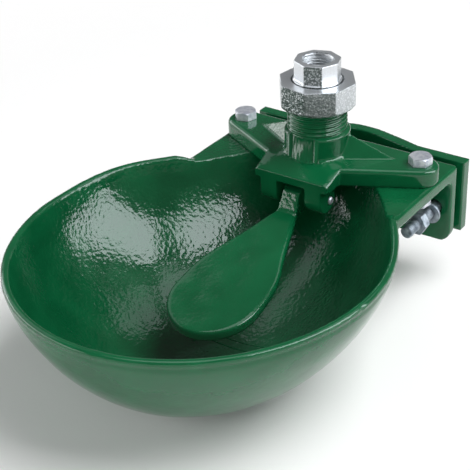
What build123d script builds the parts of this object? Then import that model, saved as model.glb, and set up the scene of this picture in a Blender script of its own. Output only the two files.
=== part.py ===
from build123d import *
import math
import os

os.makedirs("parts", exist_ok=True)

# Frame: X across (0 = symmetry plane), Y from front (-) to wall (0 = back of the
# mounting flange), Z up (0 = top of the deck that carries the valve cover).

# ---- bowl casting -------------------------------------------------------------
RIM_Z = 5.4             # rim height above the deck
BOWL_HALF_W = 111.0     # half of the rim width
BOWL_FRONT = 120.5      # rim centre to front edge
BOWL_CY = -171.0        # widest station of the rim
BOWL_DEPTH = 88.0       # rim to underside
BOWL_POLE_Y = -181.3    # station of the deepest point
WALL = 5.2              # cast wall at the rim
FLOOR = 5.0             # cast floor
FLAT_T = 0.985          # share of the depth where the flat foot starts
PROFILE_P = 1.44        # exponents of the section profile
PROFILE_Q = 2.28
SECTIONS = 9
KNEE_X, KNEE_Y = 82.5, 81.0         # rear half of the outline, from its centre
SHOULDER_X, SHOULDER_Y = 45.7, 128.7
THROAT_Y = 151.0
RIM_ROUND = 2.2
FALL_START_Y, FALL_END_Y = -93.0, -77.0   # rim falls to the deck between these

DECK_HALF_W = 77.0
DECK_T = 8.9
DECK_FRONT_Y = -96.0
FLANGE_T = 8.5
FLANGE_H = 54.0
FLANGE_CORNER = 9.0
INNER_ROUND = 5.0
EDGE_ROUND = 1.2

# ---- fasteners (M8) -----------------------------------------------------------
M8_R = 4.0
M8_HOLE_R = 4.5
M8_HEAD_H = 5.3
M8_AF = 13.0
M8_NUT_H = 6.5
WASHER_R = 8.0
WASHER_T = 1.6
M8_CHAMFER = 0.8
HEAD_CHAMFER = 0.9
WASHER_RUN = 0.2        # loose washer on its bolt
THREAD_FIT = 0.03       # threads drawn as plain cylinders
COVER_BOLT_L = 30.0
COVER_BOLT_TURN = (22.4, 14.4)

# ---- valve cover --------------------------------------------------------------
VALVE_Y = -45.7
COVER_T = 11.5
COVER_FRONT_Y = -78.6
COVER_FRONT_HALF = 26.5
COVER_FRONT_TOP = 5.8   # top of the sloping front edge
NOTCH_X, NOTCH_Y = 27.0, -63.5
EAR_R = 12.0
BOLT_X, BOLT_Y = DECK_HALF_W - EAR_R, -30.4
EAR_ROUND = 3.0
NOSE_ROUND = 2.6
BOSS_R = 21.0
BOSS_TOP = 27.0
BOSS_FOOT = 2.0         # fillet round the foot of the boss
THREAD_R = 18.95        # G 1 1/8, drawn at its major diameter
THREAD_TOP = 49.0
CHAMBER_R = 11.0
CHAMBER_FLOOR = 5.0
SEAT_HOLE_R = 8.0
GUSSET_START = 17.0
GUSSET_TIP = 50.5
GUSSET_HALF_W = 11.0
GUSSET_TIP_SIZE = 0.6
LUG_OUT_X, LUG_IN_X = 22.3, 10.0
LUG_BACK_Y = -59.6
LUG_BOTTOM = -18.0
PIN_Y, PIN_Z = -66.0, -10.5
PIN_R = 2.5
PIN_END = 0.6
PIN_FIT = 0.02          # press fit in the lugs
PIN_RUN = 0.06          # running fit in the tongue

# ---- tongue -------------------------------------------------------------------
NECK_HALF = 6.2
EYE_R = 6.5
EYE_HALF = 9.7
TONGUE_SLOPE = 0.251
TONGUE_ROOT_Y, TONGUE_ROOT_Z = -82.8, -16.4
TONGUE_TIP_Y = -190.6
TONGUE_T = 7.5
TONGUE_HALF = 30.0
TONGUE_BEND_Y, TONGUE_BEND_HALF = -86.0, 8.8
NECK_FLARE_Y = -76.0    # the neck widens into the paddle from here
TONGUE_MID_Y, TONGUE_MID_HALF = -118.0, 20.6
TONGUE_NECK_Y, TONGUE_NECK_HALF = -95.0, 12.0
TONGUE_EDGE = 2.4
NECK_TOP_Y, NECK_TOP_Z = -77.0, -4.6
HEEL_END_Y = -40.0
HEEL_TOP_Z = -7.6
HEEL_T = 6.0
LIFT_PLAY = 0.3

# ---- valve --------------------------------------------------------------------
STEM_R = 2.0
GUIDE_RUN = 0.05
STEM_TIP = 0.1          # flat left at the rounded tip
SEAT_FLANGE_T = 3.0
SEAT_BELOW = 2.0
SEAT_BORE_R = 6.0
SEAT_FIT = 0.03
SPIDER_W = 2.4
SPIDER_H = 3.0
SPIDER_HUB_R = 3.6
RUBBER_R = 7.8
RUBBER_T = 2.0
HEAD_T = 2.0
HEAD_PIN_R = 3.4
HEAD_PIN_H = 3.0
SPRING_R = 5.2
SPRING_WIRE_R = 0.5
SPRING_TURNS = 5.5
BASKET_TOP_T = 0.8
BASKET_TUBE_R = 10.6
BASKET_TUBE_T = 1.0
BASKET_FLOOR_Z = 27.0
BASKET_FLOOR_T = 1.2
BASKET_HOLE_R = 1.1
BASKET_RING_R = 4.6
BASKET_RING_HOLES = 8
BASKET_SLOT_W = 2.0
BASKET_SLOTS = 8
GASKET_T = 2.0
GASKET_IN_R = 10.0
GASKET_OUT_R = 17.0

# ---- union --------------------------------------------------------------------
NUT_BOTTOM, NUT_TOP = 43.0, 59.5
NUT_AF = 46.0
NUT_LIP = 3.6
NUT_HOLE_R = 15.9
NUT_CHAMFER = 2.0
TAIL_COLLAR_R = 17.6
TAIL_NECK_R = 15.4
TAIL_STEP = 0.8
TAIL_TOP = 72.7
TAIL_AF = 27.5
TAIL_BORE_R = 8.0
SOCKET_R = 9.315        # G 1/2 minor radius
SOCKET_DEPTH = 15.0
NUT_TURN = 12.9
TAIL_TURN = 41.9

# ---- pipe clamp ---------------------------------------------------------------
CLAMP_GAP = 5.0
CLAMP_T = 8.4
CLAMP_OVER = 1.4        # plate wider than the flange, each side
CLAMP_HALF_W = DECK_HALF_W + CLAMP_OVER
CLAMP_TOP = -0.6
CLAMP_H = 49.8
BULGE_HALF_W = 41.0
BULGE_DEPTH = 10.8
BULGE_ROUND = 52.0
BULGE_FOOT_ROUND = 75.0
CLAMP_BOLT_EDGE = 11.5
CLAMP_BOLT_X, CLAMP_BOLT_Z = DECK_HALF_W - CLAMP_BOLT_EDGE, -30.0
CLAMP_BOLT_L = 60.0
CLAMP_NUT_Y = -28.5     # back face of the clamp nuts
CLAMP_WASHER_Y = -15.5  # back face of the clamp washers


BASE = (Align.CENTER, Align.CENTER, Align.MIN)


def octagon_radius(across_flats):
    return across_flats / 2 / math.cos(math.pi / 8)


def hexagon_radius(across_flats):
    return across_flats / 2 / math.cos(math.pi / 6)


def section_scale(t):
    return (1 - t ** PROFILE_P) ** (1 / PROFILE_Q)


def bowl_outline(scale, centre_y, z):
    with BuildSketch(Plane.XY.offset(z)) as outline:
        with BuildLine():
            w = BOWL_HALF_W * scale
            EllipticalCenterArc((0, centre_y), w, BOWL_FRONT * scale, 180, arc_size=180)
            knee = (KNEE_X * scale, centre_y + KNEE_Y * scale)
            shoulder = (SHOULDER_X * scale, centre_y + SHOULDER_Y * scale)
            back = (0, centre_y + THROAT_Y * scale)
            Spline(
                (w, centre_y), knee, shoulder, back,
                (-shoulder[0], shoulder[1]), (-knee[0], knee[1]), (-w, centre_y),
                tangents=[(0, 1), (0, -1)],
            )
        make_face()
    return outline.sketch


def bowl_loft(inset, depth):
    base = (BOWL_HALF_W - inset) / BOWL_HALF_W
    faces = []
    for i in range(SECTIONS):
        t = FLAT_T * math.sin(math.pi / 2 * i / (SECTIONS - 1))
        s = section_scale(t)
        centre_y = BOWL_POLE_Y + (BOWL_CY - BOWL_POLE_Y) * s
        faces.append(bowl_outline(base * s, centre_y, RIM_Z - depth * t))
    return loft(faces)


def make_bowl():
    cavity = bowl_loft(WALL, BOWL_DEPTH - FLOOR)
    with BuildPart() as shell:
        add(bowl_loft(0, BOWL_DEPTH))
        add(cavity, mode=Mode.SUBTRACT)
        fillet(shell.faces().sort_by(Axis.Z)[-1].edges(), RIM_ROUND)
    with BuildPart() as bracket:
        with BuildSketch(Plane.YZ):
            with BuildLine():
                Polyline(
                    (0, 0), (0, -FLANGE_H), (-FLANGE_T, -FLANGE_H), (-FLANGE_T, -DECK_T),
                    (DECK_FRONT_Y, -DECK_T), (DECK_FRONT_Y, 0), close=True,
                )
            make_face()
        extrude(amount=DECK_HALF_W, both=True)
        fillet(bracket.edges().filter_by(Axis.Y).group_by(Axis.Z)[0], FLANGE_CORNER)
        nook = bracket.edges().filter_by(Axis.X).sort_by_distance((0, -FLANGE_T, -DECK_T))[0]
        fillet(nook, INNER_ROUND)
        fillet(bracket.edges().filter_by(Axis.Z).group_by(Axis.Y)[-1], EDGE_ROUND * 2)
        fillet(bracket.edges().group_by(Axis.Z)[-1].group_by(Axis.Y)[1:], EDGE_ROUND)
        add(cavity, mode=Mode.SUBTRACT)
    with BuildPart() as casting:
        add(shell.part)
        add(bracket.part)
        with BuildSketch(Plane.YZ):
            with BuildLine():
                Spline((FALL_START_Y, RIM_Z), (FALL_END_Y, 0), tangents=[(1, 0), (1, 0)])
                Polyline(
                    (FALL_END_Y, 0), (CLAMP_T, 0), (CLAMP_T, RIM_Z * 2),
                    (FALL_START_Y, RIM_Z * 2), (FALL_START_Y, RIM_Z),
                )
            make_face()
        extrude(amount=BOWL_HALF_W, both=True, mode=Mode.SUBTRACT)
        with Locations((BOLT_X, BOLT_Y, 0), (-BOLT_X, BOLT_Y, 0)):
            Cylinder(M8_HOLE_R, DECK_T * 3, mode=Mode.SUBTRACT)
        with Locations((CLAMP_BOLT_X, 0, CLAMP_BOLT_Z), (-CLAMP_BOLT_X, 0, CLAMP_BOLT_Z)):
            Cylinder(M8_HOLE_R, FLANGE_T * 3, rotation=(90, 0, 0), mode=Mode.SUBTRACT)
    return casting.part


def ear_outline():
    reach_x = BOLT_X - NOTCH_X
    reach_y = BOLT_Y - NOTCH_Y
    reach = math.hypot(reach_x, reach_y)
    angle = math.atan2(reach_y, reach_x) - math.asin(EAR_R / reach)
    run = math.sqrt(reach ** 2 - EAR_R ** 2)
    touch_x = NOTCH_X + run * math.cos(angle)
    touch_y = NOTCH_Y + run * math.sin(angle)
    meet_y = NOTCH_Y - NOTCH_X * math.tan(angle)
    back_y = BOLT_Y + EAR_R
    with BuildSketch() as outline:
        with BuildLine():
            Polyline(
                (0, meet_y), (touch_x, touch_y), (BOLT_X, BOLT_Y), (BOLT_X, back_y),
                (-BOLT_X, back_y), (-BOLT_X, BOLT_Y), (-touch_x, touch_y), close=True,
            )
        make_face()
        with Locations((BOLT_X, BOLT_Y), (-BOLT_X, BOLT_Y)):
            Circle(EAR_R)
    return outline.sketch


def gusset(side):
    along = Vector(side * BOLT_X, BOLT_Y - VALVE_Y).normalized()
    across = Vector(-along.Y, along.X)
    height = BOSS_TOP - COVER_T
    root = Vector(0, VALVE_Y, COVER_T)
    faces = []
    for distance, half, rise in (
        (GUSSET_START, GUSSET_HALF_W, height),
        (GUSSET_TIP, GUSSET_TIP_SIZE, GUSSET_TIP_SIZE),
    ):
        plane = Plane(origin=root + along * distance, x_dir=across, z_dir=along)
        with BuildSketch(plane) as section:
            with BuildLine():
                Polyline((-half, 0), (half, 0), (0, rise), close=True)
            make_face()
        faces.append(section.sketch)
    return loft(faces, ruled=True)


def nose():
    with BuildPart() as block:
        with BuildSketch():
            with BuildLine():
                Polyline(
                    (COVER_FRONT_HALF, COVER_FRONT_Y), (NOTCH_X, NOTCH_Y), (NOTCH_X, VALVE_Y),
                    (-NOTCH_X, VALVE_Y), (-NOTCH_X, NOTCH_Y), (-COVER_FRONT_HALF, COVER_FRONT_Y),
                    close=True,
                )
            make_face()
        extrude(amount=COVER_T)
        with BuildSketch(Plane.YZ):
            with BuildLine():
                Polyline(
                    (NOTCH_Y, COVER_T), (COVER_FRONT_Y, COVER_FRONT_TOP),
                    (COVER_FRONT_Y, COVER_T * 2), (NOTCH_Y, COVER_T * 2), close=True,
                )
            make_face()
        extrude(amount=NOTCH_X * 2, both=True, mode=Mode.SUBTRACT)
        sides = block.edges().filter_by(
            lambda e: e.center().Z > COVER_FRONT_TOP and abs(e.center().X) > COVER_FRONT_HALF
        )
        fillet(sides, NOSE_ROUND)
    return block.part


def make_cover():
    lug_r = (LUG_BACK_Y - COVER_FRONT_Y) / 2
    with BuildPart() as cover:
        add(ear_outline())
        extrude(amount=COVER_T)
        fillet(cover.faces().sort_by(Axis.Z)[-1].edges(), EAR_ROUND)
        add(nose())
        with Locations((0, VALVE_Y, COVER_T)):
            Cone(BOSS_R + BOSS_FOOT, BOSS_R, BOSS_FOOT, align=BASE)
        with Locations((0, VALVE_Y, 0)):
            Cylinder(BOSS_R, BOSS_TOP, align=BASE)
            Cylinder(THREAD_R, THREAD_TOP, align=BASE)
        for side in (1, -1):
            add(gusset(side))
            with BuildSketch(Plane.YZ.offset(side * LUG_IN_X)):
                with Locations((COVER_FRONT_Y + lug_r, LUG_BOTTOM + lug_r)):
                    Circle(lug_r)
                with Locations((COVER_FRONT_Y + lug_r, (LUG_BOTTOM + lug_r) / 2)):
                    Rectangle(lug_r * 2, -LUG_BOTTOM - lug_r)
            extrude(amount=side * (LUG_OUT_X - LUG_IN_X))
        with Locations((0, VALVE_Y, CHAMBER_FLOOR)):
            Cylinder(CHAMBER_R, THREAD_TOP, align=BASE, mode=Mode.SUBTRACT)
        with Locations((0, VALVE_Y, 0)):
            Cylinder(SEAT_HOLE_R, CHAMBER_FLOOR, align=BASE, mode=Mode.SUBTRACT)
        with Locations((BOLT_X, BOLT_Y, 0), (-BOLT_X, BOLT_Y, 0)):
            Cylinder(M8_HOLE_R, COVER_T * 3, mode=Mode.SUBTRACT)
        with Locations((0, PIN_Y, PIN_Z)):
            Cylinder(
                PIN_R + PIN_FIT, LUG_OUT_X * 3, rotation=(0, 90, 0), mode=Mode.SUBTRACT
            )
    return cover.part


def paddle_edge(edge, side):
    middle = edge.center()
    centre_z = TONGUE_ROOT_Z + TONGUE_SLOPE * (middle.Y - TONGUE_ROOT_Y) - TONGUE_T / 2
    on_outline = middle.Y < TONGUE_BEND_Y and abs(middle.X) > NECK_HALF
    return on_outline and side * (middle.Z - centre_z) > TONGUE_EDGE / 2


def make_tongue():
    tip_z = TONGUE_ROOT_Z + TONGUE_SLOPE * (TONGUE_TIP_Y - TONGUE_ROOT_Y)
    bend_z = TONGUE_ROOT_Z + TONGUE_SLOPE * (TONGUE_BEND_Y - TONGUE_ROOT_Y)
    wide_y = TONGUE_TIP_Y + TONGUE_HALF
    with BuildPart() as tongue:
        with BuildSketch():
            with BuildLine() as edge:
                Spline(
                    (NECK_HALF, NECK_FLARE_Y), (TONGUE_BEND_HALF, TONGUE_BEND_Y),
                    (TONGUE_NECK_HALF, TONGUE_NECK_Y), (TONGUE_MID_HALF, TONGUE_MID_Y),
                    (TONGUE_HALF, wide_y),
                    tangents=[(0, -1), (0, -1)],
                )
                CenterArc((0, wide_y), TONGUE_HALF, 270, 90)
                Polyline((NECK_HALF, NECK_FLARE_Y), (NECK_HALF, PIN_Y), (0, PIN_Y))
                mirror(edge.line, about=Plane.YZ)
            make_face()
        extrude(amount=tip_z * 2)
        with BuildSketch(Plane.YZ):
            with BuildLine():
                Polyline(
                    (PIN_Y, PIN_Z + EYE_R), (NECK_TOP_Y, NECK_TOP_Z),
                    (TONGUE_ROOT_Y, TONGUE_ROOT_Z), (TONGUE_TIP_Y, tip_z),
                    (TONGUE_TIP_Y, tip_z - TONGUE_T), (TONGUE_BEND_Y, bend_z - TONGUE_T),
                    (PIN_Y, PIN_Z - EYE_R), close=True,
                )
            make_face()
        extrude(amount=TONGUE_HALF * 2, both=True, mode=Mode.INTERSECT)
        for side in (1, -1):
            outline = tongue.edges().filter_by(lambda e: paddle_edge(e, side))
            fillet(outline, TONGUE_EDGE)
        with Locations((0, PIN_Y, PIN_Z)):
            Cylinder(EYE_R, EYE_HALF * 2, rotation=(0, 90, 0))
        with Locations((0, (PIN_Y + HEEL_END_Y) / 2, HEEL_TOP_Z - HEEL_T / 2)):
            Box(NECK_HALF * 2, HEEL_END_Y - PIN_Y, HEEL_T)
        with Locations((0, PIN_Y, PIN_Z)):
            Cylinder(
                PIN_R + PIN_RUN, EYE_HALF * 3, rotation=(0, 90, 0), mode=Mode.SUBTRACT
            )
    return tongue.part


def make_pin():
    with BuildPart() as pin:
        with Locations((0, PIN_Y, PIN_Z)):
            Cylinder(PIN_R, (LUG_OUT_X + PIN_END) * 2, rotation=(0, 90, 0))
        chamfer(pin.edges().filter_by(GeomType.CIRCLE), PIN_END)
    return pin.part


def make_seat():
    top = CHAMBER_FLOOR + SEAT_FLANGE_T
    with BuildPart() as seat:
        with Locations((0, VALVE_Y, -SEAT_BELOW)):
            Cylinder(SEAT_HOLE_R - SEAT_FIT, SEAT_BELOW + top, align=BASE)
            Cylinder(SEAT_BORE_R, SEAT_BELOW + top, align=BASE, mode=Mode.SUBTRACT)
        with Locations((0, VALVE_Y, CHAMBER_FLOOR)):
            Cylinder(CHAMBER_R - SEAT_FIT, SEAT_FLANGE_T, align=BASE)
            Cylinder(SEAT_BORE_R, SEAT_FLANGE_T, align=BASE, mode=Mode.SUBTRACT)
        with Locations((0, VALVE_Y, -SEAT_BELOW)):
            Cylinder(SPIDER_HUB_R, SPIDER_H, align=BASE)
            Box(SEAT_BORE_R * 2, SPIDER_W, SPIDER_H, align=BASE)
            Box(SPIDER_W, SEAT_BORE_R * 2, SPIDER_H, align=BASE)
            Cylinder(STEM_R + GUIDE_RUN, SPIDER_H, align=BASE, mode=Mode.SUBTRACT)
    return seat.part


def make_stem():
    rubber_z = CHAMBER_FLOOR + SEAT_FLANGE_T
    head_z = rubber_z + RUBBER_T
    tip_z = HEEL_TOP_Z + LIFT_PLAY
    with BuildPart() as stem:
        with Locations((0, VALVE_Y, tip_z)):
            Cylinder(STEM_R, head_z - tip_z, align=BASE)
        fillet(stem.edges().sort_by(Axis.Z)[0], STEM_R - STEM_TIP)
        with Locations((0, VALVE_Y, head_z)):
            Cylinder(RUBBER_R, HEAD_T, align=BASE)
        with Locations((0, VALVE_Y, head_z + HEAD_T)):
            Cylinder(HEAD_PIN_R, HEAD_PIN_H, align=BASE)
        chamfer(stem.edges().sort_by(Axis.Z)[-1], M8_CHAMFER)
    return stem.part


def make_rubber():
    with BuildPart() as rubber:
        with Locations((0, VALVE_Y, CHAMBER_FLOOR + SEAT_FLANGE_T)):
            Cylinder(RUBBER_R, RUBBER_T, align=BASE)
            Cylinder(STEM_R, RUBBER_T, align=BASE, mode=Mode.SUBTRACT)
    return rubber.part


def make_spring():
    low = CHAMBER_FLOOR + SEAT_FLANGE_T + RUBBER_T + HEAD_T + SPRING_WIRE_R
    height = BASKET_FLOOR_Z - SPRING_WIRE_R - low
    with BuildPart() as spring:
        with BuildLine() as coil:
            Helix(
                height / SPRING_TURNS, height, SPRING_R,
                center=(0, VALVE_Y, low),
            )
        with BuildSketch(Plane(origin=coil.line @ 0, z_dir=coil.line % 0)):
            RegularPolygon(SPRING_WIRE_R, 8)
        sweep(path=coil.line, is_frenet=True)
    return spring.part


def make_basket():
    top = THREAD_TOP + BASKET_TOP_T
    inner = BASKET_TUBE_R - BASKET_TUBE_T
    slot_h = (THREAD_TOP - BASKET_FLOOR_Z) / 2
    with BuildPart() as basket:
        with Locations((0, VALVE_Y, THREAD_TOP)):
            Cylinder(GASKET_OUT_R, BASKET_TOP_T, align=BASE)
        with Locations((0, VALVE_Y, BASKET_FLOOR_Z)):
            Cylinder(BASKET_TUBE_R, top - BASKET_FLOOR_Z, align=BASE)
        with Locations((0, VALVE_Y, BASKET_FLOOR_Z + BASKET_FLOOR_T)):
            Cylinder(inner, top, align=BASE, mode=Mode.SUBTRACT)
        with Locations((0, VALVE_Y, BASKET_FLOOR_Z)):
            Cylinder(BASKET_HOLE_R, BASKET_FLOOR_T, align=BASE, mode=Mode.SUBTRACT)
            with PolarLocations(BASKET_RING_R, BASKET_RING_HOLES):
                Cylinder(BASKET_HOLE_R, BASKET_FLOOR_T, align=BASE, mode=Mode.SUBTRACT)
        with Locations((0, VALVE_Y, BASKET_FLOOR_Z + slot_h)):
            with PolarLocations(BASKET_TUBE_R, BASKET_SLOTS):
                Box(BASKET_TUBE_T * 4, BASKET_SLOT_W, slot_h, mode=Mode.SUBTRACT)
    return basket.part


def make_gasket():
    with BuildPart() as gasket:
        with Locations((0, VALVE_Y, THREAD_TOP + BASKET_TOP_T)):
            Cylinder(GASKET_OUT_R, GASKET_T, align=BASE)
            Cylinder(GASKET_IN_R, GASKET_T, align=BASE, mode=Mode.SUBTRACT)
    return gasket.part


def make_union_nut():
    with BuildPart() as nut:
        with BuildSketch(Plane.XY.offset(NUT_BOTTOM)):
            with Locations((0, VALVE_Y)):
                RegularPolygon(octagon_radius(NUT_AF), 8, rotation=NUT_TURN)
        extrude(amount=NUT_TOP - NUT_BOTTOM)
        with BuildPart(mode=Mode.PRIVATE) as barrel:
            with Locations((0, VALVE_Y, NUT_BOTTOM)):
                Cylinder(octagon_radius(NUT_AF), NUT_TOP - NUT_BOTTOM, align=BASE)
            chamfer(barrel.edges().sort_by(Axis.Z)[0], NUT_CHAMFER)
        add(barrel.part, mode=Mode.INTERSECT)
        with Locations((0, VALVE_Y, NUT_BOTTOM)):
            Cylinder(
                THREAD_R + THREAD_FIT, NUT_TOP - NUT_LIP - NUT_BOTTOM, align=BASE,
                mode=Mode.SUBTRACT,
            )
            Cylinder(NUT_HOLE_R, NUT_TOP, align=BASE, mode=Mode.SUBTRACT)
    return nut.part


def make_union_tail():
    collar_z = THREAD_TOP + BASKET_TOP_T + GASKET_T
    lip_z = NUT_TOP - NUT_LIP
    with BuildPart() as tail:
        with Locations((0, VALVE_Y, collar_z)):
            Cylinder(TAIL_COLLAR_R, lip_z - collar_z, align=BASE)
            Cylinder(TAIL_NECK_R, NUT_TOP + TAIL_STEP - collar_z, align=BASE)
        with BuildSketch(Plane.XY.offset(NUT_TOP)):
            with Locations((0, VALVE_Y)):
                RegularPolygon(octagon_radius(TAIL_AF), 8, rotation=TAIL_TURN)
        extrude(amount=TAIL_TOP - NUT_TOP)
        with Locations((0, VALVE_Y, collar_z)):
            Cylinder(TAIL_BORE_R, TAIL_TOP, align=BASE, mode=Mode.SUBTRACT)
        with Locations((0, VALVE_Y, TAIL_TOP - SOCKET_DEPTH)):
            Cylinder(SOCKET_R, SOCKET_DEPTH, align=BASE, mode=Mode.SUBTRACT)
    return tail.part


def hexagon_prism(height):
    with BuildPart() as prism:
        with BuildSketch():
            RegularPolygon(hexagon_radius(M8_AF), 6)
        extrude(amount=height)
        with BuildPart(mode=Mode.PRIVATE) as barrel:
            Cylinder(hexagon_radius(M8_AF), height, align=BASE)
            chamfer(barrel.edges().sort_by(Axis.Z)[-1], HEAD_CHAMFER)
        add(barrel.part, mode=Mode.INTERSECT)
    return prism.part


def hex_bolt(length):
    with BuildPart() as bolt:
        add(hexagon_prism(M8_HEAD_H))
        with Locations((0, 0, -length)):
            Cylinder(M8_R, length, align=BASE)
        chamfer(bolt.edges().sort_by(Axis.Z)[0], M8_CHAMFER)
    return bolt.part


def hex_nut():
    with BuildPart() as nut:
        add(hexagon_prism(M8_NUT_H))
        Cylinder(M8_R + THREAD_FIT, M8_NUT_H, align=BASE, mode=Mode.SUBTRACT)
    return nut.part


def flat_washer():
    with BuildPart() as washer:
        Cylinder(WASHER_R, WASHER_T, align=BASE)
        Cylinder(M8_R + WASHER_RUN, WASHER_T, align=BASE, mode=Mode.SUBTRACT)
    return washer.part


def at_places(shape, places):
    with BuildPart() as placed:
        with Locations(*places):
            add(shape)
    return placed.part


def make_clamp_plate():
    with BuildPart() as plate:
        with BuildSketch(Plane.XY.offset(CLAMP_TOP - CLAMP_H)):
            with BuildLine():
                front = CLAMP_GAP
                back = CLAMP_GAP + CLAMP_T
                Polyline(
                    (CLAMP_HALF_W, front), (BULGE_HALF_W, front), (0, front + BULGE_DEPTH),
                    (-BULGE_HALF_W, front), (-CLAMP_HALF_W, front), (-CLAMP_HALF_W, back),
                    (-BULGE_HALF_W, back), (0, back + BULGE_DEPTH), (BULGE_HALF_W, back),
                    (CLAMP_HALF_W, back), close=True,
                )
            profile = make_face()
            apex = profile.vertices().filter_by(lambda v: abs(v.X) < EDGE_ROUND)
            fillet(apex, BULGE_ROUND)
            foot = profile.vertices().filter_by(
                lambda v: EDGE_ROUND < abs(v.X) < BULGE_HALF_W + EDGE_ROUND
            )
            fillet(foot, BULGE_FOOT_ROUND)
        extrude(amount=CLAMP_H)
        with Locations((CLAMP_BOLT_X, back, CLAMP_BOLT_Z), (-CLAMP_BOLT_X, back, CLAMP_BOLT_Z)):
            Cylinder(M8_HOLE_R, CLAMP_T * 3, rotation=(90, 0, 0), mode=Mode.SUBTRACT)
    return plate.part


def cover_places(z):
    return [
        Location((side * BOLT_X, BOLT_Y, z), (0, 0, turn))
        for side, turn in zip((1, -1), COVER_BOLT_TURN)
    ]


def clamp_places(y):
    return [Location((side * CLAMP_BOLT_X, y, CLAMP_BOLT_Z), (-90, 0, 0)) for side in (1, -1)]


def save(shape, name):
    shape.label = name
    export_step(shape, f"parts/{name}.step")


save(make_bowl(), "bowl")
save(make_cover(), "valve_cover")
save(make_tongue(), "tongue")
save(make_pin(), "hinge_pin")
save(make_seat(), "valve_seat")
save(make_stem(), "valve_stem")
save(make_rubber(), "valve_rubber")
save(make_spring(), "valve_spring")
save(make_basket(), "inlet_strainer")
save(make_gasket(), "union_gasket")
save(make_union_nut(), "union_nut")
save(make_union_tail(), "union_tail")
save(at_places(hex_bolt(COVER_BOLT_L), cover_places(COVER_T)), "cover_bolts")
save(at_places(flat_washer(), cover_places(-DECK_T - WASHER_T)), "cover_washers")
save(at_places(hex_nut(), cover_places(-DECK_T - WASHER_T - M8_NUT_H)), "cover_nuts")
save(make_clamp_plate(), "clamp_plate")
save(at_places(hex_bolt(CLAMP_BOLT_L), clamp_places(CLAMP_GAP + CLAMP_T)), "clamp_bolts")
save(at_places(flat_washer(), clamp_places(CLAMP_WASHER_Y - WASHER_T)), "clamp_washers")
save(at_places(hex_nut(), clamp_places(CLAMP_NUT_Y - M8_NUT_H)), "clamp_nuts")
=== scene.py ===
import math

import bmesh
import bpy
import numpy as np
from mathutils import Matrix, Vector, noise


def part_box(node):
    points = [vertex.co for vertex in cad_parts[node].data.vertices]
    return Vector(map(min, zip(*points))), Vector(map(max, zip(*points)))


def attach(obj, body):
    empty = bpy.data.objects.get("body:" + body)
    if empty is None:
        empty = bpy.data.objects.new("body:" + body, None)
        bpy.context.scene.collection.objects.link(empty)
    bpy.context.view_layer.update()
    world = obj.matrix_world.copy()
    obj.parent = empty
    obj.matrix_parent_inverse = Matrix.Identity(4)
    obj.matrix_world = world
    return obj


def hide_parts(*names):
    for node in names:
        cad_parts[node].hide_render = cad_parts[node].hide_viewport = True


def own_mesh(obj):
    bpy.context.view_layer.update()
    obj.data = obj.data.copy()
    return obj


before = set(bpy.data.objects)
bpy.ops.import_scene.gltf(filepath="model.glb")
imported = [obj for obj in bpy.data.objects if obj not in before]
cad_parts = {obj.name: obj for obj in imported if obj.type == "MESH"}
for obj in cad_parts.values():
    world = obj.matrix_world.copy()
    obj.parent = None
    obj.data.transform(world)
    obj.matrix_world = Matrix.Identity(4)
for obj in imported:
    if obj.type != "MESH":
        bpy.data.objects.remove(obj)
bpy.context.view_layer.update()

# X runs across, Y from the animal's side (negative) to the wall, Z up from the top of the deck.
MM = 0.001

# ---- bowl -----------------------------------------------------------------------
BOWL_EYE = (0, -150 * MM, 60 * MM)          # what faces this point is the inside of the bowl
BOWL_FACING = 0.25
BOWL_BACK_Y = -40 * MM
RIM_INNER_Z = 4.5 * MM
SHADE_LOW, SHADE_HIGH = -12 * MM, 2 * MM      # painted shade: the coat is painted darker below these heights
RIM_END_Y, RIM_GONE_Y = -78 * MM, -60 * MM
BEAD_Z, BEAD_HALF, BEAD_DEPTH = 0.4 * MM, 2.2 * MM, 0.8 * MM
NICK, NICK_DEPTH = Vector((108.6, -180.0, 3.2)) * MM, 1.4 * MM
NICK_CORE, NICK_EDGE = 0.4 * MM, 2.6 * MM
RIB_R, RIB_SPREAD, RIB_TIP = 0.32 * MM, 1.3, 0.25
RIB_STATIONS = 25
RIBS = (
    ("floor_rib_front", -153.4 * MM, -22 * MM, 17 * MM),
    ("floor_rib_back", -147 * MM, -16 * MM, 25 * MM),
)

# ---- valve cover and tongue -----------------------------------------------------
VALVE_Y = -45.7 * MM
COVER_TOP = 11.5 * MM
BOSS_TOP = 27.0 * MM
BOSS_REACH = 21.6 * MM
NOSE_START, NOSE_FALL = -63.5 * MM, 5.7 / 15.1
NOSE_HALF = 27 * MM
EVEN_HALF, EVEN_FRONT_Y, EVEN_BACK_Y, EVEN_LOW = 26 * MM, -75.5 * MM, -52 * MM, 7 * MM
EVEN_ROUNDS = 90
WEB_INNER_X, WEB_OUTER_X = -20 * MM, -50 * MM
WEB_SAND, TONGUE_SAND = 2.5, 1.1
TONGUE_NECK_FRONT_Y, TONGUE_NECK_BACK_Y = -84 * MM, -76 * MM
NECK_TOP = 45.5 * MM
NECK_CREST, NECK_ROOT, NECK_CORE = 18.95 * MM, 17.75 * MM, 17.0 * MM
NECK_SLEEVE = 16.6 * MM
NECK_PITCH = 2.9 * MM

# ---- union ----------------------------------------------------------------------
TAIL_TOP = 72.7 * MM
SOCKET_FLOOR = 57.7 * MM
SOCKET_CREST, SOCKET_ROOT, SOCKET_WALL = 9.32 * MM, 10.3 * MM, 10.7 * MM
SOCKET_BORE = 9.8 * MM
SOCKET_PITCH = 1.814 * MM
NUT_HOLE_LOW, NUT_HOLE_HIGH = 56.5 * MM, 60 * MM
NUT_HOLE_INNER, NUT_HOLE_OUTER, NUT_HOLE_NEW = 13.4 * MM, 16.4 * MM, 16.5 * MM
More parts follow.
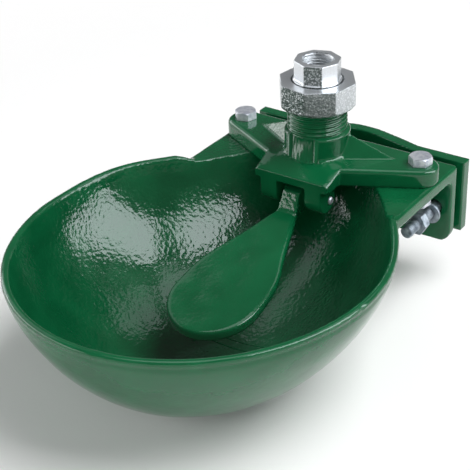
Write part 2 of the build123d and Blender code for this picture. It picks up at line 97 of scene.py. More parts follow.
# Sides of the union: bearing from the front in degrees, coarseness, painted shade (colour darkened on
# that side).
NUT_SIDES = ((-10, 1.0, 0.0), (35, 0.5, 0.28), (80, 0.45, 0.0))
TAIL_SIDES = ((-26, 0.15, 0.0), (19, 0.9, 0.0), (64, 0.15, 0.0))
SIDE_HALF = 22.5

# ---- bolts ----------------------------------------------------------------------
M8_CREST, M8_ROOT, M8_SLEEVE = 4.0 * MM, 3.45 * MM, 3.0 * MM
M8_PITCH = 1.25 * MM
THREAD_CUT = 0.4 * MM
CLAMP_BOLT_X, CLAMP_BOLT_Z = 65.5 * MM, -30.0 * MM
CLAMP_BOLT_END, CLAMP_THREAD_START, CLAMP_THREAD = -46.6 * MM, -17 * MM, 29.2 * MM
CLAMP_WASHER_Y = -16.3 * MM
COVER_BOLT_X, COVER_BOLT_Y = 65.0 * MM, -30.4 * MM
COVER_BOLT_END, COVER_THREAD_START, COVER_THREAD = -18.5 * MM, -9.5 * MM, 8.8 * MM
WASHER_R, WASHER_HOLE, WASHER_HALF, WASHER_EDGE = 7.95 * MM, 4.28 * MM, 0.8 * MM, 0.28 * MM
WASHER_LEANS = ((1, 10.5), (-1, -8.0))      # side of the bowl, lean in degrees

# ---- studio ---------------------------------------------------------------------
FLOOR_Z, FLOOR_R = -82.7 * MM, 4.0
PAPER_WHITE = 0.93
PAPER_NEAR, PAPER_FAR = 0.28, 0.6           # the paper turns to plain white between these
WORLD_GREY, WORLD_WHITE_BELOW = 0.14, 0.12
LAMP_DISTANCE = 3.0
LAMP_AIM = Vector((0, -140 * MM, 0))
CAMERA_AZIMUTH, CAMERA_ELEVATION, CAMERA_ROLL = 35.43, 30.19, -1.99
CAMERA_AIM = Vector((5.90, -147.37, 0.27)) * MM
CAMERA_DISTANCE = 777.84 * MM
CAMERA_LENS, CAMERA_SENSOR = 102.29, 36.0


# ---- colour and nodes -----------------------------------------------------------

def linear(red, green, blue):
    """The linear colour, with alpha, of an sRGB colour written 0 to 255."""
    parts = [value / 255 for value in (red, green, blue)]
    return [p / 12.92 if p < 0.04045 else ((p + 0.055) / 1.055) ** 2.4 for p in parts] + [1.0]


def maths(tree, operation, *terms, clamp=False):
    """The output of a math node whose terms are sockets or plain numbers."""
    node = tree.nodes.new("ShaderNodeMath")
    node.operation = operation
    node.use_clamp = clamp
    for socket, term in zip(node.inputs, terms):
        if isinstance(term, float):
            socket.default_value = term
        else:
            tree.links.new(term, socket)
    return node.outputs[0]


def attribute(tree, name):
    """The value that a piece keeps for each vertex under a name."""
    node = tree.nodes.new("ShaderNodeAttribute")
    node.attribute_name = name
    return node.outputs["Fac"]


def spread(tree, value, low, high, made_low=0.0, made_high=1.0):
    """Maps a value from between low and high to between made_low and made_high, clamped."""
    node = tree.nodes.new("ShaderNodeMapRange")
    node.inputs["From Min"].default_value = low
    node.inputs["From Max"].default_value = high
    node.inputs["To Min"].default_value = made_low
    node.inputs["To Max"].default_value = made_high
    tree.links.new(value, node.inputs["Value"])
    return node.outputs["Result"]


def mixed(tree, mask, first, second):
    """A colour between two by a mask."""
    node = tree.nodes.new("ShaderNodeMix")
    node.data_type = "RGBA"
    node.inputs["A"].default_value = first
    node.inputs["B"].default_value = second
    tree.links.new(mask, node.inputs["Factor"])
    return node.outputs["Result"]


def new_group(name, inputs, outputs):
    """An empty shader group with its named sockets, and its input and output nodes."""
    group = bpy.data.node_groups.new(name, "ShaderNodeTree")
    for label, value in inputs:
        socket = group.interface.new_socket(label, in_out="INPUT", socket_type="NodeSocketFloat")
        socket.default_value = value
    group.interface.new_socket("Vector", in_out="INPUT", socket_type="NodeSocketVector")
    for label in outputs:
        group.interface.new_socket(label, in_out="OUTPUT", socket_type="NodeSocketFloat")
    return group, group.nodes.new("NodeGroupInput"), group.nodes.new("NodeGroupOutput")


def coat_relief_group():
    """Height of a coat over a sand casting: broad swells, the ripple of the sand, and fine peel."""
    group, given, made = new_group(
        "coat_relief", (("Swell", 1.0), ("Ripple", 1.0), ("Peel", 0.2)), ("Height", "Cloud")
    )
    weighed = []
    for label, scale, detail in (("Swell", 55.0, 1.0), ("Ripple", 380.0, 1.5), ("Peel", 900.0, 1.0)):
        grain = group.nodes.new("ShaderNodeTexNoise")
        grain.inputs["Scale"].default_value = scale
        grain.inputs["Detail"].default_value = detail
        grain.inputs["Roughness"].default_value = 0.45
        group.links.new(given.outputs["Vector"], grain.inputs["Vector"])
        weighed.append(maths(group, "MULTIPLY", grain.outputs["Fac"], given.outputs[label]))
        if label == "Swell":
            group.links.new(grain.outputs["Fac"], made.inputs["Cloud"])
    swell_height, ripple_height, peel_height = weighed
    height = maths(group, "ADD", maths(group, "ADD", swell_height, ripple_height), peel_height)
    group.links.new(height, made.inputs["Height"])
    return group


def zinc_skin_group():
    """Skin of hot zinc: a height of grains and runs, and a mask of dull spots."""
    group, given, made = new_group(
        "zinc_skin", (("Grain", 700.0), ("Runs", 160.0)), ("Height", "Dull", "Cloud")
    )
    grain = group.nodes.new("ShaderNodeTexNoise")
    grain.inputs["Detail"].default_value = 3.0
    grain.inputs["Roughness"].default_value = 0.6
    runs = group.nodes.new("ShaderNodeTexNoise")
    runs.inputs["Detail"].default_value = 2.0
    spots = group.nodes.new("ShaderNodeTexVoronoi")
    for texture, label in ((grain, "Grain"), (runs, "Runs"), (spots, "Grain")):
        group.links.new(given.outputs["Vector"], texture.inputs["Vector"])
        group.links.new(given.outputs[label], texture.inputs["Scale"])
    height = maths(group, "MULTIPLY_ADD", runs.outputs["Fac"], 1.6, grain.outputs["Fac"])
    group.links.new(height, made.inputs["Height"])
    group.links.new(spread(group, spots.outputs["Distance"], 0.15, 0.55), made.inputs["Dull"])
    group.links.new(runs.outputs["Fac"], made.inputs["Cloud"])
    return group


COAT_RELIEF = coat_relief_group()
ZINC_SKIN = zinc_skin_group()


def new_finish(name, metallic):
    """A material with its tree and its Principled shader."""
    finish = bpy.data.materials.new(name)
    finish.use_nodes = True
    tree = finish.node_tree
    shader = tree.nodes["Principled BSDF"]
    shader.inputs["Metallic"].default_value = metallic
    return finish, tree, shader


def placed_group(tree, group, **values):
    """A group laid on the piece's Object coordinates, with its own values."""
    place = tree.nodes.new("ShaderNodeTexCoord")
    node = tree.nodes.new("ShaderNodeGroup")
    node.node_tree = group
    tree.links.new(place.outputs["Object"], node.inputs["Vector"])
    for label, value in values.items():
        node.inputs[label].default_value = value
    return node


def tint(tree, shader, mask, first, second, low=0.3, high=0.7):
    """Runs the colour of a finish between two by a mask."""
    colour = mixed(tree, spread(tree, mask, low, high), first, second)
    tree.links.new(colour, shader.inputs["Base Color"])


def roughen(tree, shader, mask, first, second, low=0.3, high=0.7):
    """Runs the roughness of a finish between two values by a mask."""
    tree.links.new(spread(tree, mask, low, high, first, second), shader.inputs["Roughness"])


def raise_by(tree, shader, height, distance):
    """Bumps a finish by a height, distance metres from 0 to 1."""
    bump = tree.nodes.new("ShaderNodeBump")
    bump.inputs["Strength"].default_value = 1.0
    bump.inputs["Distance"].default_value = distance
    tree.links.new(height, bump.inputs["Height"])
    tree.links.new(bump.outputs["Normal"], shader.inputs["Normal"])


# ---- finishes -------------------------------------------------------------------

def green_enamel():
    """Glossy dark green enamel: rippled where the sand attribute says so, painted darker low in the
    bowl's hollow as painted shade.
    """
    finish, tree, shader = new_finish("green_enamel", 0.0)
    shader.inputs["IOR"].default_value = 1.5
    relief = placed_group(tree, COAT_RELIEF, Swell=1.0, Peel=0.05)
    ripple = maths(tree, "MULTIPLY_ADD", attribute(tree, "sand"), 0.6, 0.16)
    tree.links.new(ripple, relief.inputs["Ripple"])
    cloud = relief.outputs["Cloud"]
    # Painted shade: the colour darkens in the bowl's hollow, on top of the coat's random cloudy tone.
    cloud_and_shade = maths(tree, "MULTIPLY_ADD", attribute(tree, "hollow_shade"), -0.5, cloud)
    tint(tree, shader, cloud_and_shade, linear(8, 73, 42), linear(12, 93, 55), -0.1, 0.7)
    roughen(tree, shader, cloud, 0.09, 0.15)
    raise_by(tree, shader, relief.outputs["Height"], 0.34 * MM)
    return finish


def galvanised_iron():
    """Hot zinc over cast iron: coarse by the grit attribute, with dull specks by grit and painted
    shade on one side of the nut.
    """
    finish, tree, shader = new_finish("galvanised_iron", 0.92)
    skin = placed_group(tree, ZINC_SKIN, Grain=800.0, Runs=170.0)
    grit = attribute(tree, "grit")
    coarse = maths(tree, "MULTIPLY", skin.outputs["Height"], grit)
    specks = maths(tree, "MULTIPLY", skin.outputs["Dull"], grit)
    # Dull specks by grit, plus the painted shade kept for each vertex.
    dark = maths(tree, "ADD", specks, attribute(tree, "painted_shade"))
    tint(tree, shader, dark, linear(222, 225, 228), linear(98, 108, 106), 0.1, 1.0)
    roughen(tree, shader, grit, 0.42, 0.3, 0.0, 1.0)
    raise_by(tree, shader, coarse, 0.5 * MM)
    return finish


def metal_skin(name, metallic, grain, runs, colours, smooth, dull, depth):
    """A thin metal skin: cloudy colour, dull spots and a slight unevenness."""
    finish, tree, shader = new_finish(name, metallic)
    skin = placed_group(tree, ZINC_SKIN, Grain=grain, Runs=runs)
    tint(tree, shader, skin.outputs["Cloud"], *colours)
    roughen(tree, shader, skin.outputs["Dull"], smooth, dull, 0.0, 1.0)
    raise_by(tree, shader, skin.outputs["Height"], depth)
    return finish


def zinc_steel(name, *colours):
    """Zinc plate on the bolts, nuts and washers."""
    return metal_skin(name, 0.7, 1100.0, 260.0, colours, 0.34, 0.5, 0.12 * MM)


def brass():
    """Turned brass of the valve."""
    colours = linear(176, 138, 72), linear(212, 176, 104)
    return metal_skin("brass", 1.0, 900.0, 200.0, colours, 0.24, 0.42, 0.03 * MM)


def spring_steel():
    """Bright drawn wire."""
    colours = linear(150, 152, 156), linear(192, 194, 198)
    return metal_skin("spring_steel", 1.0, 1500.0, 400.0, colours, 0.24, 0.4, 0.02 * MM)


def black_rubber():
    """Moulded rubber of the valve disc and the gasket."""
    finish, tree, shader = new_finish("rubber", 0.0)
    relief = placed_group(tree, COAT_RELIEF, Swell=0.4, Ripple=0.3, Peel=0.8)
    tint(tree, shader, relief.outputs["Cloud"], linear(22, 22, 23), linear(38, 38, 40))
    roughen(tree, shader, relief.outputs["Cloud"], 0.52, 0.7)
    raise_by(tree, shader, relief.outputs["Height"], 0.05 * MM)
    return finish


# ---- pieces ---------------------------------------------------------------------

def show(piece, finish, slot, body, *stands_for):
    """Gives a piece its finish, its body, and the CAD nodes that it stands for."""
    piece.data.materials.clear()
    piece.data.materials.append(finish)
    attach(piece, body)
    if stands_for:
        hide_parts(*stands_for)
    return piece


def as_piece(name, work):
    """Writes a bmesh to a new smooth-shaded piece."""
    mesh = bpy.data.meshes.new(name)
    work.to_mesh(mesh)
    work.free()
    mesh.shade_smooth()
    piece = bpy.data.objects.new(name, mesh)
    bpy.context.scene.collection.objects.link(piece)
    return piece


def merged_copy(node, distance=0.01 * MM):
    """A bmesh of a CAD node with its loose triangles joined up."""
    work = bmesh.new()
    work.from_mesh(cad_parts[node].data)
    bmesh.ops.remove_doubles(work, verts=work.verts, dist=distance)
    return work


def drop_normals(piece):
    """Removes the shading that a merged copy keeps from the CAD node's own triangles."""
    piece.data.attributes.remove(piece.data.attributes["custom_normal"])


def sharpen(piece, degrees):
    """Shades every edge steeper than an angle as a sharp one."""
    piece.data.set_sharp_from_angle(angle=math.radians(degrees))


def coated_copy(node, name, voxel, rounds):
    """A merged copy of a CAD node whose edges are rounded the way a thick coat rounds them."""
    piece = as_piece(name, merged_copy(node))
    skin = piece.modifiers.new("skin", "REMESH")
    skin.mode = "VOXEL"
    skin.voxel_size = voxel
    skin.use_smooth_shade = True
    flow = piece.modifiers.new("flow", "SMOOTH")
    flow.factor = 0.5
    flow.iterations = rounds
    bpy.context.view_layer.update()
    seen = piece.evaluated_get(bpy.context.evaluated_depsgraph_get())
    coated = bpy.data.meshes.new_from_object(seen)
    piece.modifiers.clear()
    piece.data = coated
    coated.name = name
    places, _ = skin_of(piece)
    put_skin(piece, np.clip(places, *(tuple(corner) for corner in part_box(node))))
    return piece


def skin_of(piece):
    """Places and normals of a piece's vertices, read once, because moving one renews every normal."""
    count = len(piece.data.vertices)
    places, normals = np.empty(count * 3), np.empty(count * 3)
    piece.data.vertices.foreach_get("co", places)
    piece.data.vertices.foreach_get("normal", normals)
    return places.reshape(-1, 3), normals.reshape(-1, 3)


def put_skin(piece, places):
    """Writes the places of a piece's vertices back."""
    piece.data.vertices.foreach_set("co", places.ravel())
    piece.data.update()


def swell(piece, size, depth):
    """Moves the surface inwards by a slow noise, up to depth, so that it isn't machine-true."""
    places, normals = skin_of(piece)
    waves = np.array([noise.noise(Vector(place) / size) for place in places])
    put_skin(piece, places - normals * (depth * (0.5 + 0.5 * waves))[:, None])


def soften(piece, chosen, rounds):
    """Evens out the chosen part of a surface, the rest held still."""
    work = bmesh.new()
    work.from_mesh(piece.data)
    work.verts.ensure_lookup_table()
    picked = [work.verts[i] for i in np.flatnonzero(chosen)]
    for _ in range(rounds):
        bmesh.ops.smooth_vert(
            work, verts=picked, factor=0.5, use_axis_x=True, use_axis_y=True, use_axis_z=True,
        )
    work.to_mesh(piece.data)
    work.free()


def mark(piece, name, values):
    """Keeps one number for each vertex, which the finish of the piece reads."""
    kept = piece.data.attributes.new(name, "FLOAT", "POINT")
    kept.data.foreach_set("value", np.asarray(values, dtype=np.float32))


def fade(distance, near, far):
    """1 up to near and 0 from far on, with a soft step between them."""
    t = np.clip((far - distance) / (far - near), 0, 1)
    return t * t * (3 - 2 * t)


def scale_about_valve(piece, chosen, radius):
    """Sets the distance from the valve axis of the chosen vertices."""
    places, _ = skin_of(piece)
    across = places[:, :2] - (0, VALVE_Y)
    reach = np.hypot(across[:, 0], across[:, 1])
    picked = chosen(reach, places[:, 2])
    places[picked, :2] = (0, VALVE_Y) + across[picked] * (radius / reach[picked])[:, None]
    put_skin(piece, places)


def closed_loop(work, places):
    """A loop of edges through places, ready to be spun."""
    loop = [work.verts.new(place) for place in places]
    for first, second in zip(loop, loop[1:] + loop[:1]):
        work.edges.new((first, second))


def spin_round(work, steps):
    """Spins a loop a full turn about the Z axis into a closed ring."""
    bmesh.ops.spin(
        work, geom=work.verts[:] + work.edges[:], cent=(0, 0, 0), axis=(0, 0, 1),
        dvec=(0, 0, 0), angle=math.tau, steps=steps, use_merge=True, use_duplicate=False,
    )
    bmesh.ops.remove_doubles(work, verts=work.verts, dist=0.002 * MM)
    bmesh.ops.recalc_face_normals(work, faces=work.faces)


def threaded_ring(name, low, high, inner, outer, pitch, crest, root, steps, step, lead=0.6):
    """A ring about the Z axis with a helical thread cut from its wall at crest down to root."""
    work = bmesh.new()
    count = max(2, round((high - low) / step))
    heights = [low + (high - low) * i / count for i in range(count + 1)]
    closed_loop(work, [(outer, 0, z) for z in heights] + [(inner, 0, z) for z in reversed(heights)])
    spin_round(work, steps)
    for vertex in work.verts:
        radius = math.hypot(vertex.co.x, vertex.co.y)
        if abs(radius - crest) > 0.01 * MM:
            continue
        turn = math.atan2(vertex.co.y, vertex.co.x) / math.tau
        wave = 0.5 - 0.5 * math.cos(math.tau * (vertex.co.z / pitch - turn))
        room = min(vertex.co.z - low, high - vertex.co.z) / (pitch * lead)
        wanted = crest + (root - crest) * wave ** 0.8 * min(1, max(0, room))
        vertex.co.x *= wanted / radius
        vertex.co.y *= wanted / radius
    return as_piece(name, work)


# ---- castings -------------------------------------------------------------------

def coat_bowl():
    """The bowl with the bead below its rim and the nick in it, marked where it ripples and where its
    hollow takes painted shade.
    """
    piece = coated_copy("bowl", "bowl_coated", voxel=1.6 * MM, rounds=2)
    swell(piece, size=26 * MM, depth=0.35 * MM)
    places, normals = skin_of(piece)
    x, y, z = places.T
    inward = BOWL_EYE - places
    facing = (inward * normals).sum(1) / np.linalg.norm(inward, axis=1)
    inside = (facing > BOWL_FACING) & (z < RIM_INNER_Z) & (y < BOWL_BACK_Y)
    outer = fade(y, RIM_END_Y, RIM_GONE_Y) * fade(facing, -0.2, 0.1)
    bead = outer * fade(np.abs(z - BEAD_Z), 0, BEAD_HALF) * BEAD_DEPTH
    nick = fade(np.linalg.norm(places - NICK, axis=1), NICK_CORE, NICK_EDGE) * NICK_DEPTH
    put_skin(piece, places - normals * (bead + nick)[:, None])
    mark(piece, "sand", inside)
    # Painted shade: a darkening of the hollow, deepest towards its bottom.
    mark(piece, "hollow_shade", inside * fade(z, SHADE_LOW, SHADE_HIGH))
    return piece


def floor_rib(name, y, left, right):
    """A fine raised line across the floor of the bowl, laid on the coat."""
    bowl = bpy.data.objects["bowl_coated"]
    across = np.linspace(left, right, RIB_STATIONS)
    above, down = -50 * MM, Vector((0, 0, -1))
    seen = [bowl.ray_cast(Vector((x, y, above)), down)[1].z for x in across]
    heights = np.polyval(np.polyfit(across, seen, 3), across)
    work = bmesh.new()
    last = []
    for station, (x, z) in enumerate(zip(across, heights)):
        tip = station in (0, RIB_STATIONS - 1)
        upright = Matrix.Translation((x, y, z)) @ Matrix.Rotation(math.radians(90), 4, "Y")
        made = bmesh.ops.create_circle(
            work, cap_ends=tip, segments=8, radius=RIB_R * (RIB_TIP if tip else 1),
            matrix=upright @ Matrix.Diagonal((1, RIB_SPREAD, 1, 1)),
        )
        ring = list({edge for vertex in made["verts"] for edge in vertex.link_edges})
        if last:
            bmesh.ops.bridge_loops(work, edges=last + ring)
        last = ring
    bmesh.ops.recalc_face_normals(work, faces=work.faces)
    return as_piece(name, work)


def coat_cover():
    """The valve cover with an even slope on its nose and its neck thinned for the thread."""
    piece = coated_copy("valve_cover", "valve_cover_coated", voxel=0.7 * MM, rounds=4)
    scale_about_valve(
        piece, lambda reach, z: (z > BOSS_TOP + 0.5 * MM) & (reach > NECK_CORE), NECK_CORE
    )
    places, _ = skin_of(piece)
    x, y, z = places.T
    slope = COVER_TOP - NOSE_FALL * (NOSE_START - y)
    over = (np.abs(x) < NOSE_HALF) & (y < NOSE_START) & (z > slope)
    places[over, 2] = slope[over]
    put_skin(piece, places)
    places, normals = skin_of(piece)
    x, y, z = places.T
    reach = np.hypot(x, y - VALVE_Y)
    nose = (np.abs(x) < EVEN_HALF) & (y > EVEN_FRONT_Y) & (y < EVEN_BACK_Y) & (z > EVEN_LOW)
    soften(piece, nose & (normals[:, 2] > 0.7) & (reach > BOSS_REACH), EVEN_ROUNDS)
    swell(piece, size=18 * MM, depth=0.25 * MM)
    web = (x < WEB_INNER_X) & (x > WEB_OUTER_X) & (z > COVER_TOP + 1 * MM)
    mark(piece, "sand", np.where(web & (normals[:, 1] < -0.2), WEB_SAND, 0.0))
    return piece


def cover_neck_thread():
    """The thread above the boss, under the union nut."""
    piece = threaded_ring(
        "cover_neck_thread", BOSS_TOP - 0.6 * MM, NECK_TOP, NECK_SLEEVE, NECK_CREST,
        NECK_PITCH, NECK_CREST, NECK_ROOT, steps=160, step=0.24 * MM,
    )
    piece.data.transform(Matrix.Translation((0, VALVE_Y, 0)))
    return piece


def coat_tongue():
    """The tongue, with sand showing through on its bend."""
    piece = coated_copy("tongue", "tongue_coated", voxel=0.75 * MM, rounds=8)
    swell(piece, size=16 * MM, depth=0.3 * MM)
    places, normals = skin_of(piece)
    y = places[:, 1]
    neck = (y > TONGUE_NECK_FRONT_Y) & (y < TONGUE_NECK_BACK_Y) & (normals[:, 2] > 0.2)
    mark(piece, "sand", np.where(neck, TONGUE_SAND, 0.0))
    return piece


def coat_clamp_plate():
    """The bulged plate behind the flange."""
    piece = coated_copy("clamp_plate", "clamp_plate_coated", voxel=0.9 * MM, rounds=3)
    swell(piece, size=20 * MM, depth=0.3 * MM)
    return piece


# ---- union ----------------------------------------------------------------------

def lay_grit(piece, sides, size, depth):
    """Rough zinc on a piece of the union, coarser and more speckled on some of its sides, with painted
    shade on one of them.
    """
    places, normals = skin_of(piece)
    bearing = np.degrees(np.arctan2(normals[:, 0], -normals[:, 1]))
    upright = np.abs(normals[:, 2]) < 0.6
    grit, painted_shade = np.where(upright, 0.5, 0.12), np.zeros(len(places))
    # The third value of each side, read here as dull, is painted shade: colour darkened on that side.
    for middle, coarse, dull in sides:
        side = upright & (np.abs((bearing - middle + 180) % 360 - 180) < SIDE_HALF)
        grit[side], painted_shade[side] = coarse, dull
    mark(piece, "grit", grit)
    mark(piece, "painted_shade", painted_shade)
    grain = [noise.noise(Vector(p) / size) + 0.6 * noise.noise(Vector(p) / size * 2.3) for p in places]
    depths = depth * grit * np.clip(0.5 + 0.5 * np.array(grain), 0, None)
    sunk = places - normals * depths[:, None]
    put_skin(piece, np.clip(sunk, places.min(axis=0), places.max(axis=0)))


def zinc_union_nut():
    """The nut, its hole opened a little to leave a dark gap round the tail."""
    piece = coated_copy("union_nut", "union_nut_zinc", voxel=0.5 * MM, rounds=2)
    scale_about_valve(
        piece,
        lambda reach, z: (z > NUT_HOLE_LOW) & (z < NUT_HOLE_HIGH)
        & (reach < NUT_HOLE_OUTER) & (reach > NUT_HOLE_INNER),
        NUT_HOLE_NEW,
    )
    lay_grit(piece, NUT_SIDES, size=1.5 * MM, depth=0.25 * MM)
    return piece


def zinc_union_tail():
    """The tail, its socket opened to make room for the thread."""
    piece = coated_copy("union_tail", "union_tail_zinc", voxel=0.42 * MM, rounds=2)
    scale_about_valve(
        piece, lambda reach, z: (reach < SOCKET_BORE) & (z > SOCKET_FLOOR + 0.5 * MM), SOCKET_WALL
    )
    lay_grit(piece, TAIL_SIDES, size=1.6 * MM, depth=0.14 * MM)
    return piece


def tail_socket_thread():
    """The pipe thread inside the top of the tail."""
    piece = threaded_ring(
        "tail_socket_thread", SOCKET_FLOOR + 0.2 * MM, TAIL_TOP - 0.5 * MM, SOCKET_CREST,
        SOCKET_WALL + 0.4 * MM, SOCKET_PITCH, SOCKET_CREST, SOCKET_ROOT,
        steps=120, step=0.18 * MM, lead=0.4,
    )
    piece.data.transform(Matrix.Translation((0, VALVE_Y, 0)))
    mark(piece, "grit", np.full(len(piece.data.vertices), 0.2))
    return piece


# ---- fasteners and valve --------------------------------------------------------

def threaded_bolts(node, name, axis, start):
    """A merged copy of a pair of bolts, thinned to the thread core from start down along axis."""
    work = merged_copy(node)
    along = Vector([float(k == axis) for k in range(3)])
    for cut in (start, start - THREAD_CUT):
        bmesh.ops.bisect_plane(
            work, geom=work.verts[:] + work.edges[:] + work.faces[:],
            plane_co=along * cut, plane_no=along, dist=0.001 * MM,
        )
    for vertex in work.verts:
        if vertex.co[axis] > start - THREAD_CUT + 0.1 * MM:
            continue
        offset = vertex.co - bolt_middle(node, vertex.co)
        offset[axis] = 0
        if offset.length > M8_CREST - 0.1 * MM:
            vertex.co -= offset * (1 - M8_ROOT / offset.length)
    piece = as_piece(name, work)
    drop_normals(piece)
    sharpen(piece, degrees=30)
    return piece


def bolt_middle(node, place):
    """The point of the nearest bolt's own line, for one of the two pairs of bolts."""
    side = 1 if place.x > 0 else -1
    if node == "clamp_bolts":
        return Vector((side * CLAMP_BOLT_X, 0, CLAMP_BOLT_Z))
    return Vector((side * COVER_BOLT_X, COVER_BOLT_Y, 0))


def bolt_thread(name, length, place):
    """The thread of an M8 bolt from its end up, set in place by a matrix."""
    piece = threaded_ring(
        name, 0.2 * MM, length, M8_SLEEVE, M8_CREST, M8_PITCH, M8_CREST, M8_ROOT,
        steps=40, step=0.15 * MM,
    )
    piece.data.transform(place)
    return piece


def fit_bolts(bright, dull):
    """The bolts of the cover and of the clamp, each with its thread as a piece of its own."""
    # dull is the darker copy of the zinc: painted shade for the clamp hardware under the deck.
    for node, name, axis, start, finish in (
        ("clamp_bolts", "clamp_bolts_zinc", 1, CLAMP_THREAD_START, dull),
        ("cover_bolts", "cover_bolts_zinc", 2, COVER_THREAD_START, bright),
    ):
        show(threaded_bolts(node, name, axis, start), finish, "zinc_steel", "body", node)
    lie = Matrix.Rotation(math.radians(-90), 4, "X")
    for side, word in ((1, "right"), (-1, "left")):
        clamp = Matrix.Translation((side * CLAMP_BOLT_X, CLAMP_BOLT_END, CLAMP_BOLT_Z)) @ lie
        cover = Matrix.Translation((side * COVER_BOLT_X, COVER_BOLT_Y, COVER_BOLT_END))
        for name, length, place, finish in (
            ("clamp_thread_" + word, CLAMP_THREAD, clamp, dull),
            ("cover_thread_" + word, COVER_THREAD, cover, bright),
        ):
            show(bolt_thread(name, length, place), finish, "zinc_steel", "body")


def loose_washers():
    """The two clamp washers, each leaning on its bolt."""
    hole, r, half, edge = WASHER_HOLE, WASHER_R, WASHER_HALF, WASHER_EDGE
    work = bmesh.new()
    for side, lean in WASHER_LEANS:
        part = bmesh.new()
        closed_loop(part, (
            (hole, 0, -half), (r - edge, 0, -half), (r, 0, -half + edge), (r, 0, half - edge / 2),
            (r - edge / 2, 0, half), (hole + edge, 0, half), (hole, 0, half - edge),
        ))
        spin_round(part, steps=56)
        stand = Matrix.Rotation(math.radians(90 + lean), 4, "X")
        spot = Matrix.Translation((side * CLAMP_BOLT_X, CLAMP_WASHER_Y, CLAMP_BOLT_Z))
        bmesh.ops.transform(part, matrix=spot @ stand, verts=part.verts)
        mesh = bpy.data.meshes.new("washer")
        part.to_mesh(mesh)
        part.free()
        work.from_mesh(mesh)
        bpy.data.meshes.remove(mesh)
    piece = as_piece("clamp_washers_zinc", work)
    sharpen(piece, degrees=35)
    return piece


def closing_spring():
    """A merged copy of the valve's spring."""
    piece = as_piece("closing_spring", merged_copy("valve_spring", 0.005 * MM))
    drop_normals(piece)
    return piece


def press_spring(piece):
    """Gives the spring a mesh of its own."""
    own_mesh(piece)


def dress_cad_nodes(bright, dull, yellow, rubber):
    """Finishes for the CAD nodes that are shown as they are."""
    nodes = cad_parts
    for name, finish in (
        ("hinge_pin", bright), ("valve_seat", yellow), ("valve_stem", yellow),
        ("valve_rubber", rubber), ("inlet_strainer", yellow), ("union_gasket", rubber),
        # the clamp nuts take the darker zinc, painted shade under the deck
        ("cover_washers", bright), ("cover_nuts", bright), ("clamp_nuts", dull),
    ):
        nodes[name].data.materials.clear()
        nodes[name].data.materials.append(finish)


# ---- studio ---------------------------------------------------------------------

def background_rays(tree):
    """1 for the rays that show the background: straight from the camera, mirrored or let through."""
    path = tree.nodes.new("ShaderNodeLightPath")
    total = path.outputs["Is Camera Ray"]
    for label in ("Is Glossy Ray", "Is Transmission Ray"):
        total = maths(tree, "ADD", total, path.outputs[label], clamp=True)
    return total


def studio_paper():
    """White paper that takes the object's shadow and turns to plain white further away."""
    paper, tree, shader = new_finish("studio_paper", 0.0)
    shader.inputs["Base Color"].default_value = (PAPER_WHITE, PAPER_WHITE, PAPER_WHITE, 1)
    shader.inputs["Roughness"].default_value = 0.9
    shader.inputs["Specular IOR Level"].default_value = 0.1
    place = tree.nodes.new("ShaderNodeTexCoord")
    reach = tree.nodes.new("ShaderNodeVectorMath")
    reach.operation = "LENGTH"
    tree.links.new(place.outputs["Object"], reach.inputs[0])
    far = tree.nodes.new("ShaderNodeMapRange")
    far.interpolation_type = "SMOOTHSTEP"
    far.inputs["From Min"].default_value = PAPER_NEAR
    far.inputs["From Max"].default_value = PAPER_FAR
    tree.links.new(reach.outputs["Value"], far.inputs["Value"])
    glow = tree.nodes.new("ShaderNodeEmission")
    mix = tree.nodes.new("ShaderNodeMixShader")
    plain = maths(tree, "MULTIPLY", far.outputs["Result"], background_rays(tree))
    tree.links.new(plain, mix.inputs["Fac"])
    tree.links.new(shader.outputs[0], mix.inputs[1])
    tree.links.new(glow.outputs[0], mix.inputs[2])
    tree.links.new(mix.outputs[0], tree.nodes["Material Output"].inputs["Surface"])
    return paper


def lay_floor():
    """A round sheet of paper just below the bowl."""
    work = bmesh.new()
    bmesh.ops.create_circle(work, cap_ends=True, segments=96, radius=FLOOR_R)
    bmesh.ops.translate(work, verts=work.verts, vec=(0, 0, FLOOR_Z))
    floor = as_piece("floor", work)
    floor.data.materials.append(studio_paper())


def light_world():
    """A dim grey world that is plain white at and below the horizon where it shows."""
    world = bpy.data.worlds.new("studio")
    bpy.context.scene.world = world
    world.use_nodes = True
    tree = world.node_tree
    sight = tree.nodes.new("ShaderNodeTexCoord")
    height = tree.nodes.new("ShaderNodeSeparateXYZ")
    tree.links.new(sight.outputs["Generated"], height.inputs["Vector"])
    low = spread(tree, height.outputs["Z"], WORLD_WHITE_BELOW, 0.0)
    white = maths(tree, "MULTIPLY", low, background_rays(tree))
    colour = mixed(tree, white, (WORLD_GREY, WORLD_GREY, WORLD_GREY, 1), (1, 1, 1, 1))
    tree.links.new(colour, tree.nodes["Background"].inputs["Color"])


def looking_at(aim, azimuth, elevation, roll, distance):
    """The place of a lamp or camera: azimuth from the front to the right, elevation up, degrees."""
    a, e, r = (math.radians(angle) for angle in (azimuth, elevation, roll))
    back = Vector((math.sin(a) * math.cos(e), -math.cos(a) * math.cos(e), math.sin(e)))
    level = Vector((math.cos(a), math.sin(a), 0))
    along = level * math.cos(r) + back.cross(level) * math.sin(r)
    turn = Matrix((along, back.cross(along), back)).transposed().to_4x4()
    return Matrix.Translation(aim + back * distance) @ turn


def hang_softbox(name, azimuth, elevation, roll, spans, radiance, only=None):
    """A softbox that spans (width, height) degrees from the object, for all or only gloss or shade."""
    width, height = (2 * LAMP_DISTANCE * math.tan(math.radians(span) / 2) for span in spans)
    light = bpy.data.lights.new(name, "AREA")
    light.shape = "RECTANGLE"
    light.size = width
    light.size_y = height
    light.energy = radiance * math.pi * width * height
    light.color = (0.95, 1.0, 1.05) if only == "gloss" else (1.0, 1.0, 1.0)
    lamp = bpy.data.objects.new(name, light)
    lamp.visible_diffuse = only != "gloss"
    lamp.visible_glossy = only != "shade"
    lamp.matrix_world = looking_at(LAMP_AIM, azimuth, elevation, roll, LAMP_DISTANCE)
    bpy.context.scene.collection.objects.link(lamp)


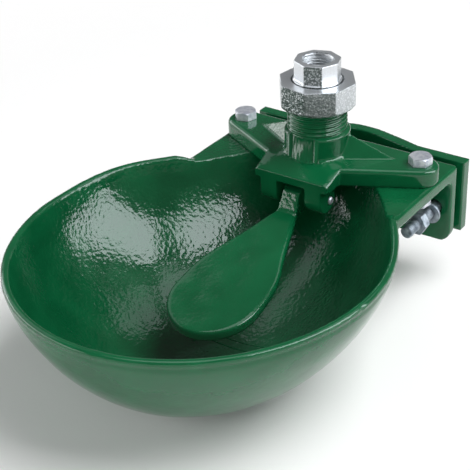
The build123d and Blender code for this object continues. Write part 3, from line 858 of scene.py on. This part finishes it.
def hang_lamps():
    """The softboxes and cards of the studio."""
    hang_softbox("key_softbox", 106, 32, -52, (64, 28), 7.0, "gloss")
    hang_softbox("top_softbox", 118, 58, 0, (44, 44), 5.8, "shade")
    hang_softbox("front_softbox", 25, 25, 0, (60, 40), 1.3, "shade")
    hang_softbox("fill_softbox", -65, 12, 0, (76, 17), 4.0)
    hang_softbox("streak_card", -99, 21, -24, (28, 10), 2.6, "gloss")
    hang_softbox("left_card", -85, 34, -20, (66, 26), 0.7, "gloss")
    hang_softbox("back_card", 157, 50, 0, (24, 26), 1.2, "gloss")
    hang_softbox("overhead_card", 0, 88, 0, (40, 40), 1.8, "gloss")


def set_camera():
    """A long lens from the front right, a little above the bowl."""
    data = bpy.data.cameras.new("camera")
    data.sensor_width = CAMERA_SENSOR
    data.lens = CAMERA_LENS
    data.clip_start = 0.05
    camera = bpy.data.objects.new("camera", data)
    camera.matrix_world = looking_at(
        CAMERA_AIM, CAMERA_AZIMUTH, CAMERA_ELEVATION, CAMERA_ROLL, CAMERA_DISTANCE
    )
    bpy.context.scene.collection.objects.link(camera)
    bpy.context.scene.camera = camera


def build():
    """Dresses the whole bowl."""
    enamel = green_enamel()
    iron = galvanised_iron()
    zinc = zinc_steel("zinc_steel", linear(176, 181, 194), linear(222, 224, 228))
    # Painted shade: a darker copy of the same zinc for the clamp bolts, nuts and washers, which sit in
    # shade under the deck.
    dull = zinc_steel("shaded_zinc_steel", linear(100, 110, 120), linear(178, 188, 196))
    dress_cad_nodes(zinc, dull, brass(), black_rubber())
    press_spring(show(closing_spring(), spring_steel(), "spring_steel", "body", "valve_spring"))
    show(coat_bowl(), enamel, "green_enamel", "body", "bowl")
    for name, y, left, right in RIBS:
        show(floor_rib(name, y, left, right), enamel, "green_enamel", "body")
    show(coat_cover(), enamel, "green_enamel", "body", "valve_cover")
    show(cover_neck_thread(), enamel, "green_enamel", "body")
    show(coat_tongue(), enamel, "green_enamel", "tongue", "tongue")
    show(coat_clamp_plate(), enamel, "green_enamel", "body", "clamp_plate")
    show(zinc_union_nut(), iron, "galvanised_iron", "body", "union_nut")
    show(zinc_union_tail(), iron, "galvanised_iron", "body", "union_tail")
    show(tail_socket_thread(), iron, "galvanised_iron", "body")
    fit_bolts(zinc, dull)
    show(loose_washers(), dull, "zinc_steel", "body", "clamp_washers")


set_camera()
build()
lay_floor()
light_world()
hang_lamps()
bpy.context.scene.view_settings.view_transform = "Standard"
